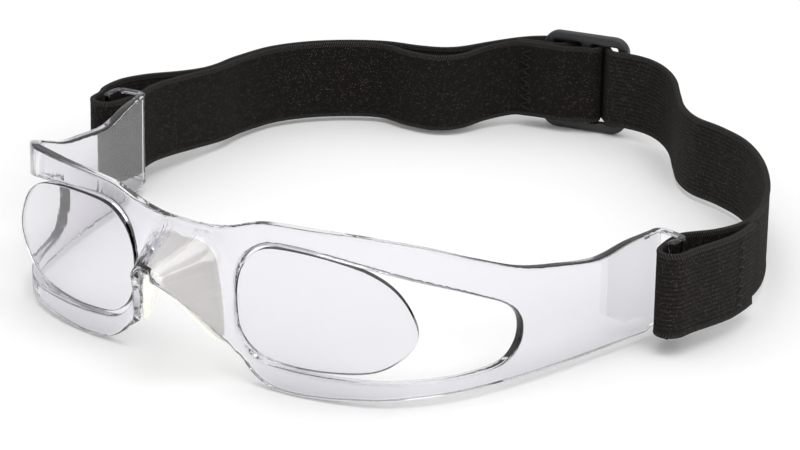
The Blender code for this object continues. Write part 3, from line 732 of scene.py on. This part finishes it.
def strap_route():
    """Plan of the webbing from its end at the slider, round both hooks, to its other end."""
    pitch = STRAP_THICKNESS + LAYER_GAP
    near = SLIDER_THICKNESS / 2 + STRAP_THICKNESS / 2 + BAR_GAP
    tail = [slider_place(-19.5, -near), slider_place(-15.5, -near), slider_place(-11.5, -near),
            slider_place(-7.0, -near + 0.4), slider_place(-4.4, near - 1.0),
            slider_place(-2.0, near), slider_place(0.6, near), slider_place(3.1, near - 1.0),
            slider_place(3.7, 0.0), slider_place(2.5, -near + 0.1)]
    under = [slider_place(-1.0, -near - 0.3), slider_place(-5.0, -near - pitch),
             slider_place(-10.0, -near - pitch), slider_place(-15.0, -near - pitch),
             slider_place(-19.5, -near - pitch - 0.3)]
    inner = [(-35.4, 96.2), (-37.8, 88.7), (-43, 83.8), (-51, 82.6), (-60, 83.2), (-68.5, 78.2),
             (-76, 70.6), (-81, 61.2), (-82.4, 50.2), (-81.6, 40.2), (-82, 30.2), (-82.5, 20.2),
             (-82.3, 12.2)]
    right_loop = [hook_place(-1, -3.9, 7.7), hook_place(-1, -3.6, 2.6), hook_place(-1, -2.7, -1.5),
                  hook_place(-1, 0.3, -3.5), hook_place(-1, 3.5, -1.6), hook_place(-1, 4.5, 3.1)]
    outer = [(-90.6, 3.2), (-91.3, 11.2), (-89.4, 19.2), (-85.7, 27.2), (-83.6, 34.2),
             (-83.3, 40.4), (-84.1, 50.2), (-82.6, 61.9), (-77.3, 71.8), (-69.4, 79.8),
             (-60.5, 85.5), (-51.0, 88.2), (-42.6, 92.4), (-36.6, 99.7), (-30.5, 107.0)]
    through = [slider_place(-12.0, near + 0.1), slider_place(-8.0, near + 0.2),
               slider_place(-3.5, near + pitch), slider_place(0.8, near + pitch + 0.1),
               slider_place(4.1, near + 0.5), slider_place(5.9, 0.3), slider_place(7.9, -near),
               slider_place(12.0, -near - 0.2)]
    single = [(6, 112.4), (12, 110.4), (18, 105.6), (24, 97.8), (30, 90.2), (37, 85), (46, 82.4),
              (56, 77.6), (66, 68.2), (75, 55.8), (82, 42.2), (86, 30.2), (87, 21.2), (85.2, 13.2)]
    left_loop = [hook_place(1, -3.5, 9.6), hook_place(1, -3.9, 5.6), hook_place(1, -3.5, 1.1),
                 hook_place(1, -2.4, -2.9), hook_place(1, 0.3, -4.3), hook_place(1, 3.0, -2.3),
                 hook_place(1, 3.9, 2.8)]
    end = [(89.8, 5.7), (90.6, 12.2), (90.0, 19.2), (88.9, 25.2)]
    return (tail + under + [head_place(x, y) for x, y in inner] + right_loop
            + [head_place(x, y) for x, y in outer] + through
            + [head_place(x, y) for x, y in single] + left_loop
            + [head_place(x, y) for x, y in end])


def strap_low(place):
    """Height of the strap's lower edge: it falls towards the back and the slider holds it up."""
    back = ease((place.y - hook_line()) / STRAP_FALL_RUN)
    spot = Vector(slider_place(0.0, 0.0))
    lifted = 1.0 - ease(((place - spot).length - SLIDER_LENGTH / 2) / SLIDER_LIFT_RUN)
    return strap_bottom() - STRAP_FALL * back + SLIDER_LIFT * lifted


def bend_on_strap(bm, rail):
    """Lays flat work on the strap's route: x is the distance along it, y is up, z is depth."""
    for vert in bm.verts:
        distance, up, depth = vert.co
        place = rail.at(distance)
        flat = place + rail.inward(distance, 0.5) * depth
        vert.co = (flat.x, flat.y, strap_low(place) + up)


def strap_rail():
    return Rail(smooth_line(strap_route(), 12))


def build_strap(bead):
    """The webbing, with a map of distance and height on each face and a thicker selvage."""
    rail = strap_rail()
    bm = bmesh.new()
    bmesh.ops.create_grid(bm, x_segments=round(rail.total / WEBBING_STEP),
                          y_segments=STRAP_ROWS, size=0.5)
    bmesh.ops.scale(bm, vec=(rail.total, STRAP_WIDTH, 1.0), verts=bm.verts)
    bmesh.ops.translate(bm, vec=(rail.total / 2, STRAP_WIDTH / 2, 0.0), verts=bm.verts)
    rounded_plate(bm, STRAP_THICKNESS, STRAP_EDGE)
    uv = bm.loops.layers.uv.new("Webbing")
    side = bm.loops.layers.float_color.new("ribbed")
    for face in bm.faces:
        ribbed = 1.0 if face.calc_center_median().z < STRAP_THICKNESS / 2 else 0.0
        for loop in face.loops:
            loop[uv].uv = (loop.vert.co.x / STRAP_WIDTH, loop.vert.co.y / STRAP_WIDTH)
            loop[side] = (ribbed, ribbed, ribbed, 1.0)
    for vert in bm.verts:
        edge = 1.0 - min(vert.co.y, STRAP_WIDTH - vert.co.y) / SELVAGE_WIDTH
        middle = vert.co.z - STRAP_THICKNESS / 2
        vert.co.z = middle * (1.0 + 2 * bead / STRAP_THICKNESS * ease(edge))
    bend_on_strap(bm, rail)
    return bm


# ---------------------------------------------------------------- slider

def build_slider():
    """Three upright bars between two rails, all in one moulding."""
    half = SLIDER_LENGTH / 2
    strap_foot = strap_low(Vector(slider_place(0.0, 0.0)))
    slot_low = strap_foot - SLIDER_SLOT_SPARE / 2
    slot_high = strap_foot + STRAP_WIDTH + SLIDER_SLOT_SPARE / 2
    loops = [rounded_box(-half, half, slot_low - SLIDER_RAIL,
                         slot_high + SLIDER_RAIL, SLIDER_CORNER, 8)]
    for side in (-1, 1):
        edges = sorted((side * SLIDER_BAR / 2, side * (half - SLIDER_BAR)))
        loops.append(rounded_box(*edges, slot_low, slot_high, SLIDER_SLOT_CORNER, 4))
    bm = bmesh.new()
    fill_outline(bm, loops)
    rounded_plate(bm, SLIDER_THICKNESS, SLIDER_EDGE, 4)
    for vert in bm.verts:
        along, z, depth = vert.co
        x, y = slider_place(along, depth - SLIDER_THICKNESS / 2)
        vert.co = (x, y, z)
    return bm


# ---------------------------------------------------------------- seams

def build_seam(middle, along, out, thread):
    """A zigzag seam of separate stitches, each a slim rounded strand."""
    run = Vector((*along, 0.0)).normalized()
    face = Vector((*out, 0.0)).normalized()
    foot = strap_low(Vector(middle))
    low, high = foot + SEAM_MARGIN, foot + STRAP_WIDTH - SEAM_MARGIN
    count = SEAM_ROWS * 2
    bm = bmesh.new()
    for k in range(count):
        z0, z1 = (low + (high - low) * j / count for j in (k, k + 1))
        swing = run * (SEAM_HALF_WIDTH if k % 2 else -SEAM_HALF_WIDTH)
        start = Vector((*middle, z0)) - swing
        end = Vector((*middle, z1)) + swing
        span = end - start
        made = bmesh.ops.create_uvsphere(bm, u_segments=8, v_segments=6, radius=0.5)["verts"]
        bmesh.ops.scale(bm, vec=(thread, thread, span.length * STITCH_OVERLAP), verts=made)
        turn = Vector((0.0, 0.0, 1.0)).rotation_difference(span).to_matrix()
        bmesh.ops.rotate(bm, verts=made, cent=(0, 0, 0), matrix=turn)
        bmesh.ops.translate(bm, verts=made, vec=(start + end) / 2
                            + face * (STRAP_THICKNESS / 2 + SEAM_LIFT + thread / 2))
    return bm


# ---------------------------------------------------------------- materials

def new_material(name):
    material = bpy.data.materials.new(name)
    material.use_nodes = True
    return material, material.node_tree.nodes, material.node_tree.links


def set_inputs(node, values):
    for label, value in values.items():
        node.inputs[label].default_value = value


def add_bump(nodes, links, shader, height, strength, distance):
    """Turns a height into the shader's normal; distance is in metres."""
    bump = nodes.new("ShaderNodeBump")
    set_inputs(bump, {"Strength": strength, "Distance": distance})
    links.new(height, bump.inputs["Height"])
    links.new(bump.outputs["Normal"], shader.inputs["Normal"])


def add_mix(nodes, links, factor, low, high):
    """Mixes two colours; the first may be another node's output."""
    mix = nodes.new("ShaderNodeMix")
    mix.data_type = "RGBA"
    links.new(factor, mix.inputs["Factor"])
    if isinstance(low, bpy.types.NodeSocket):
        links.new(low, mix.inputs["A"])
    else:
        mix.inputs["A"].default_value = (*low, 1.0)
    mix.inputs["B"].default_value = (*high, 1.0)
    return mix.outputs["Result"]


def surface_noise_group():
    """Group: fine noise on Object coordinates, as a mask and as a height."""
    name = "Moulded surface"
    if name in bpy.data.node_groups:
        return bpy.data.node_groups[name]
    group = bpy.data.node_groups.new(name, "ShaderNodeTree")
    for label, default in (("Scale", 400.0), ("Detail", 3.0), ("Low", 0.0), ("High", 1.0)):
        socket = group.interface.new_socket(label, in_out="INPUT", socket_type="NodeSocketFloat")
        socket.default_value = default
    group.interface.new_socket("Mask", in_out="OUTPUT", socket_type="NodeSocketFloat")
    nodes, links = group.nodes, group.links
    enter, leave = nodes.new("NodeGroupInput"), nodes.new("NodeGroupOutput")
    coords = nodes.new("ShaderNodeTexCoord")
    noise = nodes.new("ShaderNodeTexNoise")
    spread = nodes.new("ShaderNodeMapRange")
    links.new(coords.outputs["Object"], noise.inputs["Vector"])
    links.new(enter.outputs["Scale"], noise.inputs["Scale"])
    links.new(enter.outputs["Detail"], noise.inputs["Detail"])
    links.new(noise.outputs["Fac"], spread.inputs["Value"])
    set_inputs(spread, {"From Min": 0.3, "From Max": 0.7})
    links.new(enter.outputs["Low"], spread.inputs["To Min"])
    links.new(enter.outputs["High"], spread.inputs["To Max"])
    links.new(spread.outputs["Result"], leave.inputs["Mask"])
    return group


def place_noise(nodes, scale, detail, low=0.0, high=1.0):
    node = nodes.new("ShaderNodeGroup")
    node.node_tree = surface_noise_group()
    set_inputs(node, {"Scale": scale, "Detail": detail, "Low": low, "High": high})
    return node.outputs["Mask"]


def clear_plastic(name, tint, roughness, waviness):
    """Polished clear polycarbonate, with the slight waviness of a moulding."""
    material, nodes, links = new_material(name)
    shader = nodes["Principled BSDF"]
    set_inputs(shader, {"Base Color": (*tint, 1.0), "Transmission Weight": 1.0, "IOR": 1.585})
    scuffs = place_noise(nodes, 900.0, 4.0, roughness * 0.4, roughness * 1.6)
    links.new(scuffs, shader.inputs["Roughness"])
    add_bump(nodes, links, shader, place_noise(nodes, 55.0, 1.0), waviness, 0.0004)
    return material


def pad_material(colour):
    """Soft cream elastomer, milky inside, with a satin skin and a painted glow: a faint emission
    that brightens the pad where the clear frame shades it.
    """
    material, nodes, links = new_material("Cream elastomer")
    shader = nodes["Principled BSDF"]
    # the emission is painted light: a glow that lights the pad under the clear frame
    set_inputs(shader, {
        "Roughness": 0.24, "IOR": 1.45, "Subsurface Weight": 0.6,
        "Subsurface Radius": (0.004, 0.0036, 0.0026), "Coat Weight": 0.35, "Coat Roughness": 0.12,
        "Emission Color": (*colour, 1.0), "Emission Strength": 0.18})
    shade = [c * 0.93 for c in colour]
    cloud = add_mix(nodes, links, place_noise(nodes, 160.0, 2.0), shade, colour)
    links.new(cloud, shader.inputs["Base Color"])
    add_bump(nodes, links, shader, place_noise(nodes, 2200.0, 2.0), 0.08, 0.0002)
    return material


def webbing_material(ground, yarn_highlight, overlock, pitch):
    """Knitted elastic: rows of loops along the band, ribbed on one face, a fuzzy sheen, and painted
    highlights on loops, ribs and specks.
    """
    material, nodes, links = new_material("Knitted elastic")
    shader = nodes["Principled BSDF"]
    set_inputs(shader, {"Roughness": 0.86, "Specular IOR Level": 0.10, "Sheen Weight": 0.02,
                        "Sheen Roughness": 0.45, "Sheen Tint": (0.75, 0.72, 0.72, 1.0)})
    coords = nodes.new("ShaderNodeUVMap")
    coords.uv_map = "Webbing"
    split = nodes.new("ShaderNodeSeparateXYZ")
    links.new(coords.outputs["UV"], split.inputs["Vector"])
    along, across = split.outputs["X"], split.outputs["Y"]
    ribbed_face = nodes.new("ShaderNodeVertexColor")
    ribbed_face.layer_name = "ribbed"

    def work_out(operation, *values, clamp=False):
        node = nodes.new("ShaderNodeMath")
        node.operation = operation
        node.use_clamp = clamp
        for socket, value in zip(node.inputs, values):
            if isinstance(value, bpy.types.NodeSocket):
                links.new(value, socket)
            else:
                socket.default_value = value
        return node.outputs[0]

    # loops: a slanted lattice, about 0.4 mm from one loop to the next
    row = work_out("MULTIPLY", across, STRAP_WIDTH / LOOP_HEIGHT * math.pi)
    column = work_out("MULTIPLY", along, STRAP_WIDTH / LOOP_WIDTH * math.pi)
    lattice = work_out("ABSOLUTE", work_out(
        "MULTIPLY", work_out("SINE", work_out("ADD", column, row)),
        work_out("SINE", work_out("SUBTRACT", column, row))))
    # ribs along the band, shown on one face
    rib_wave = work_out("SINE", work_out("MULTIPLY", across, STRAP_WIDTH / RIB_PITCH * math.tau))
    rib = work_out("MULTIPLY_ADD", rib_wave, 0.5, 0.5)
    # uneven yarn, and painted highlights: specks where a few loops catch the light
    noise = nodes.new("ShaderNodeTexNoise")
    set_inputs(noise, {"Scale": 26.0, "Detail": 6.0, "Roughness": 0.75})
    links.new(coords.outputs["UV"], noise.inputs["Vector"])
    uneven = noise.outputs["Fac"]
    speck = nodes.new("ShaderNodeTexVoronoi")
    speck.inputs["Scale"].default_value = STRAP_WIDTH / SPECK_PITCH
    links.new(coords.outputs["UV"], speck.inputs["Vector"])
    spot = work_out("MULTIPLY", work_out("LESS_THAN", speck.outputs["Distance"], 0.33),
                    work_out("GREATER_THAN", speck.outputs["Color"], 0.62))
    # painted highlights: the loops' crowns, the rib crests on one face and the specks lighten the
    # ground colour towards the highlight colour
    light = work_out("MULTIPLY", work_out("MULTIPLY", lattice, uneven), 0.4)
    rib_light = work_out("MULTIPLY", rib,
                         work_out("MULTIPLY", ribbed_face.outputs["Color"], 0.14))
    light = work_out("ADD", work_out("ADD", light, rib_light),
                     work_out("MULTIPLY", spot, 0.8), clamp=True)
    # the webbing's ground colour with the painted highlights mixed in
    knit_and_highlights = add_mix(nodes, links, light, ground, yarn_highlight)
    # stitches slanting over both edges
    from_middle = work_out("ABSOLUTE", work_out("SUBTRACT", across, 0.5))
    selvage = work_out("GREATER_THAN", from_middle, 0.5 - OVERLOCK_WIDTH / STRAP_WIDTH)
    slanted = work_out("MULTIPLY_ADD", from_middle, 0.45, along)
    wave = work_out("SINE", work_out("MULTIPLY", slanted, math.tau * STRAP_WIDTH / pitch))
    stitch = work_out("MULTIPLY", work_out("MULTIPLY_ADD", wave, 1.2, 0.5, clamp=True), selvage)
    sewn = add_mix(nodes, links, stitch, knit_and_highlights, overlock)
    links.new(sewn, shader.inputs["Base Color"])
    rib_height = work_out("MULTIPLY", rib,
                          work_out("MULTIPLY", ribbed_face.outputs["Color"], 0.55))
    height = work_out("ADD", work_out("MULTIPLY", lattice, 0.55), rib_height)
    height = work_out("ADD", height, work_out("MULTIPLY", uneven, 0.4))
    height = work_out("ADD", height, stitch)
    add_bump(nodes, links, shader, height, 0.9, 0.00028)
    return material


def thread_material(name, colour):
    """Twisted sewing thread."""
    material, nodes, links = new_material(name)
    shader = nodes["Principled BSDF"]
    set_inputs(shader, {"Roughness": 0.62, "Specular IOR Level": 0.35})
    strands = place_noise(nodes, 1500.0, 2.0)
    shade = add_mix(nodes, links, strands, [c * 0.5 for c in colour], colour)
    links.new(shade, shader.inputs["Base Color"])
    add_bump(nodes, links, shader, strands, 0.5, 0.0001)
    return material


def slider_material(colour):
    """Black moulded plastic with a fine spark-eroded grain."""
    material, nodes, links = new_material("Black moulding")
    shader = nodes["Principled BSDF"]
    shader.inputs["Base Color"].default_value = (*colour, 1.0)
    links.new(place_noise(nodes, 500.0, 4.0, 0.30, 0.46), shader.inputs["Roughness"])
    add_bump(nodes, links, shader, place_noise(nodes, 4200.0, 2.0), 0.25, 0.0001)
    return material


# ---------------------------------------------------------------- stage

def floor_material(colour):
    """Matt white paint."""
    material, nodes, _ = new_material("Studio floor")
    set_inputs(nodes["Principled BSDF"],
               {"Base Color": (*colour, 1.0), "Roughness": 0.9, "Specular IOR Level": 0.1})
    return material


def build_world():
    """A soft studio: white above, grey towards the horizon, so that clear edges read dark."""
    world = bpy.data.worlds.new("Studio")
    bpy.context.scene.world = world
    world.use_nodes = True
    nodes, links = world.node_tree.nodes, world.node_tree.links
    coords = nodes.new("ShaderNodeTexCoord")
    split = nodes.new("ShaderNodeSeparateXYZ")
    ramp = nodes.new("ShaderNodeValToRGB")
    stops = ((HORIZON_END, HORIZON_COLOUR), (SKY_START, SKY_COLOUR))
    for element, (position, colour) in zip(ramp.color_ramp.elements, stops):
        element.position, element.color = position, colour
    links.new(coords.outputs["Generated"], split.inputs["Vector"])
    links.new(split.outputs["Z"], ramp.inputs["Fac"])
    links.new(ramp.outputs["Color"], nodes["Background"].inputs["Color"])
    nodes["Background"].inputs["Strength"].default_value = SKY_STRENGTH


def add_area_light(name, place, target, size, power):
    light = bpy.data.lights.new(name, "AREA")
    light.shape = "DISK"
    light.size = size
    light.energy = power
    lamp = bpy.data.objects.new(name, light)
    bpy.context.scene.collection.objects.link(lamp)
    lamp.location = place
    lamp.rotation_euler = (Vector(target) - Vector(place)).to_track_quat("-Z", "Y").to_euler()


def add_camera():
    """The camera looks down on the goggles from ahead of the wearer's left."""
    azimuth, elevation = math.radians(CAMERA_AZIMUTH), math.radians(CAMERA_ELEVATION)
    forward = Vector((-math.sin(azimuth) * math.cos(elevation),
                      math.cos(azimuth) * math.cos(elevation), -math.sin(elevation)))
    right = Vector((math.cos(azimuth), math.sin(azimuth), 0.0))
    up = right.cross(forward)
    aim = SHIFT - Vector((0.0, 0.0, CAMERA_AIM_DROP * MM))
    view = (forward + right * CAMERA_LOOK_RIGHT + up * CAMERA_LOOK_UP).normalized()
    side = view.cross(up).normalized()
    turn = Matrix((side, side.cross(view), -view)).transposed().to_4x4()
    camera = bpy.data.cameras.new("Studio camera")
    camera.sensor_width = CAMERA_SENSOR
    camera.lens = CAMERA_LENS
    camera.clip_start, camera.clip_end = 0.01, 50.0
    holder = bpy.data.objects.new("Studio camera", camera)
    bpy.context.scene.collection.objects.link(holder)
    holder.matrix_world = Matrix.Translation(aim - forward * CAMERA_DISTANCE) @ turn
    bpy.context.scene.camera = holder


# ---------------------------------------------------------------- operators

class GOGGLES_OT_frame(Operator):
    """Model the clear one-piece frame"""

    bl_idname = "goggles.frame"
    bl_label = "Frame"

    def execute(self, context):
        shape, colours = context.scene.goggles_shape, context.scene.goggles_colours
        bm = build_frame(shape.edge_round / MM)
        material = clear_plastic("Clear polycarbonate", colours.shell, 0.03, 0.03)
        even_shading(finish_piece("clear_frame", bm, material, "frame_body",
                                  ("frame",)))
        return {"FINISHED"}


class GOGGLES_OT_lenses(Operator):
    """Model both lenses"""

    bl_idname = "goggles.lenses"
    bl_label = "Lenses"

    def execute(self, context):
        shape, colours = context.scene.goggles_shape, context.scene.goggles_colours
        material = clear_plastic("Clear lens", colours.lens, 0.015, 0.0)
        for name, side in (("left", 1), ("right", -1)):
            bm = build_lens(side, shape.lens_round / MM)
            even_shading(finish_piece("clear_lens_" + name, bm, material, "frame_body",
                                      ("lens_" + name,)))
        return {"FINISHED"}


class GOGGLES_OT_nose_pad(Operator):
    """Model the soft nose pad"""

    bl_idname = "goggles.nose_pad"
    bl_label = "Nose Pad"

    def execute(self, context):
        shape, colours = context.scene.goggles_shape, context.scene.goggles_colours
        bm = build_pad(shape.pad_round / MM)
        pad = finish_piece("soft_nose_pad", bm, pad_material(colours.pad), "frame_body",
                           ("nose_pad",))
        return {"FINISHED"}


class GOGGLES_OT_strap(Operator):
    """Model the elastic webbing"""

    bl_idname = "goggles.strap"
    bl_label = "Strap"

    def execute(self, context):
        shape, colours = context.scene.goggles_shape, context.scene.goggles_colours
        bm = build_strap(shape.webbing_bead / MM)
        material = webbing_material(colours.webbing, colours.yarn_highlight, colours.overlock,
                                    shape.stitch_pitch / MM)
        finish_piece("elastic_strap", bm, material, "strap_body", ("strap",))
        return {"FINISHED"}


class GOGGLES_OT_slider(Operator):
    """Model the three-bar slider"""

    bl_idname = "goggles.slider"
    bl_label = "Slider"

    def execute(self, context):
        finish_piece("three_bar_slider", build_slider(),
                     slider_material(context.scene.goggles_colours.slider),
                     "slider_body", ("strap_slider",))
        return {"FINISHED"}


class GOGGLES_OT_seams(Operator):
    """Sew the zigzag seams"""

    bl_idname = "goggles.seams"
    bl_label = "Seams"

    def execute(self, context):
        thread = context.scene.goggles_shape.thread / MM
        material = thread_material("Black thread", THREAD_COLOUR)
        seam = build_seam(head_place(*LOOP_SEAM_PLACE), LOOP_SEAM_ALONG, LOOP_SEAM_OUT, thread)
        finish_piece("loop_seam", seam, material, "strap_body", ("loop_stitching",))
        turn = math.radians(SLIDER_TURN)
        far = SLIDER_THICKNESS / 2 + STRAP_THICKNESS * 1.5 + BAR_GAP + LAYER_GAP
        seam = build_seam(slider_place(SLIDER_SEAM_ALONG, -far), (math.cos(turn), math.sin(turn)),
                          (math.sin(turn), -math.cos(turn)), thread)
        finish_piece("slider_seam", seam, material, "strap_body", ("slider_stitching",))
        return {"FINISHED"}


class GOGGLES_OT_stage(Operator):
    """Set the floor, the light and the camera"""

    bl_idname = "goggles.stage"
    bl_label = "Stage"

    def execute(self, context):
        bm = bmesh.new()
        bmesh.ops.create_grid(bm, x_segments=1, y_segments=1, size=FLOOR_HALF_SIZE)
        mesh = bpy.data.meshes.new("studio_floor")
        bm.to_mesh(mesh)
        bm.free()
        mesh.materials.append(floor_material(context.scene.goggles_colours.floor))
        floor = bpy.data.objects.new("studio_floor", mesh)
        floor.location = (0.0, 0.0, -FLOOR_DROP)
        context.scene.collection.objects.link(floor)
        build_world()
        for lamp in LIGHTS:
            add_area_light(*lamp)
        add_camera()
        context.scene.view_settings.view_transform = "Standard"
        return {"FINISHED"}


class GOGGLES_PT_panel(Panel):
    """Lists the steps of the goggles in the sidebar"""

    bl_idname = "GOGGLES_PT_panel"
    bl_label = "Sports Goggles"
    bl_space_type = "VIEW_3D"
    bl_region_type = "UI"
    bl_category = "Goggles"

    def draw(self, context):
        layout = self.layout
        for settings in (context.scene.goggles_shape, context.scene.goggles_colours):
            for name in settings.__annotations__:
                layout.prop(settings, name)
        for step in STEPS:
            layout.operator(step.bl_idname)


STEPS = (GOGGLES_OT_frame, GOGGLES_OT_lenses, GOGGLES_OT_nose_pad, GOGGLES_OT_strap,
         GOGGLES_OT_slider, GOGGLES_OT_seams, GOGGLES_OT_stage)
CLASSES = (GogglesShape, GogglesColours) + STEPS + (GOGGLES_PT_panel,)


def register():
    for item in CLASSES:
        bpy.utils.register_class(item)
    bpy.types.Scene.goggles_shape = PointerProperty(type=GogglesShape)
    bpy.types.Scene.goggles_colours = PointerProperty(type=GogglesColours)


def unregister():
    del bpy.types.Scene.goggles_colours
    del bpy.types.Scene.goggles_shape
    for item in reversed(CLASSES):
        bpy.utils.unregister_class(item)


def main():
    register()
    bpy.ops.goggles.frame()
    bpy.ops.goggles.lenses()
    bpy.ops.goggles.nose_pad()
    bpy.ops.goggles.strap()
    bpy.ops.goggles.slider()
    bpy.ops.goggles.seams()
    bpy.ops.goggles.stage()
    bpy.context.view_layer.update()


if __name__ == "__main__":
    main()
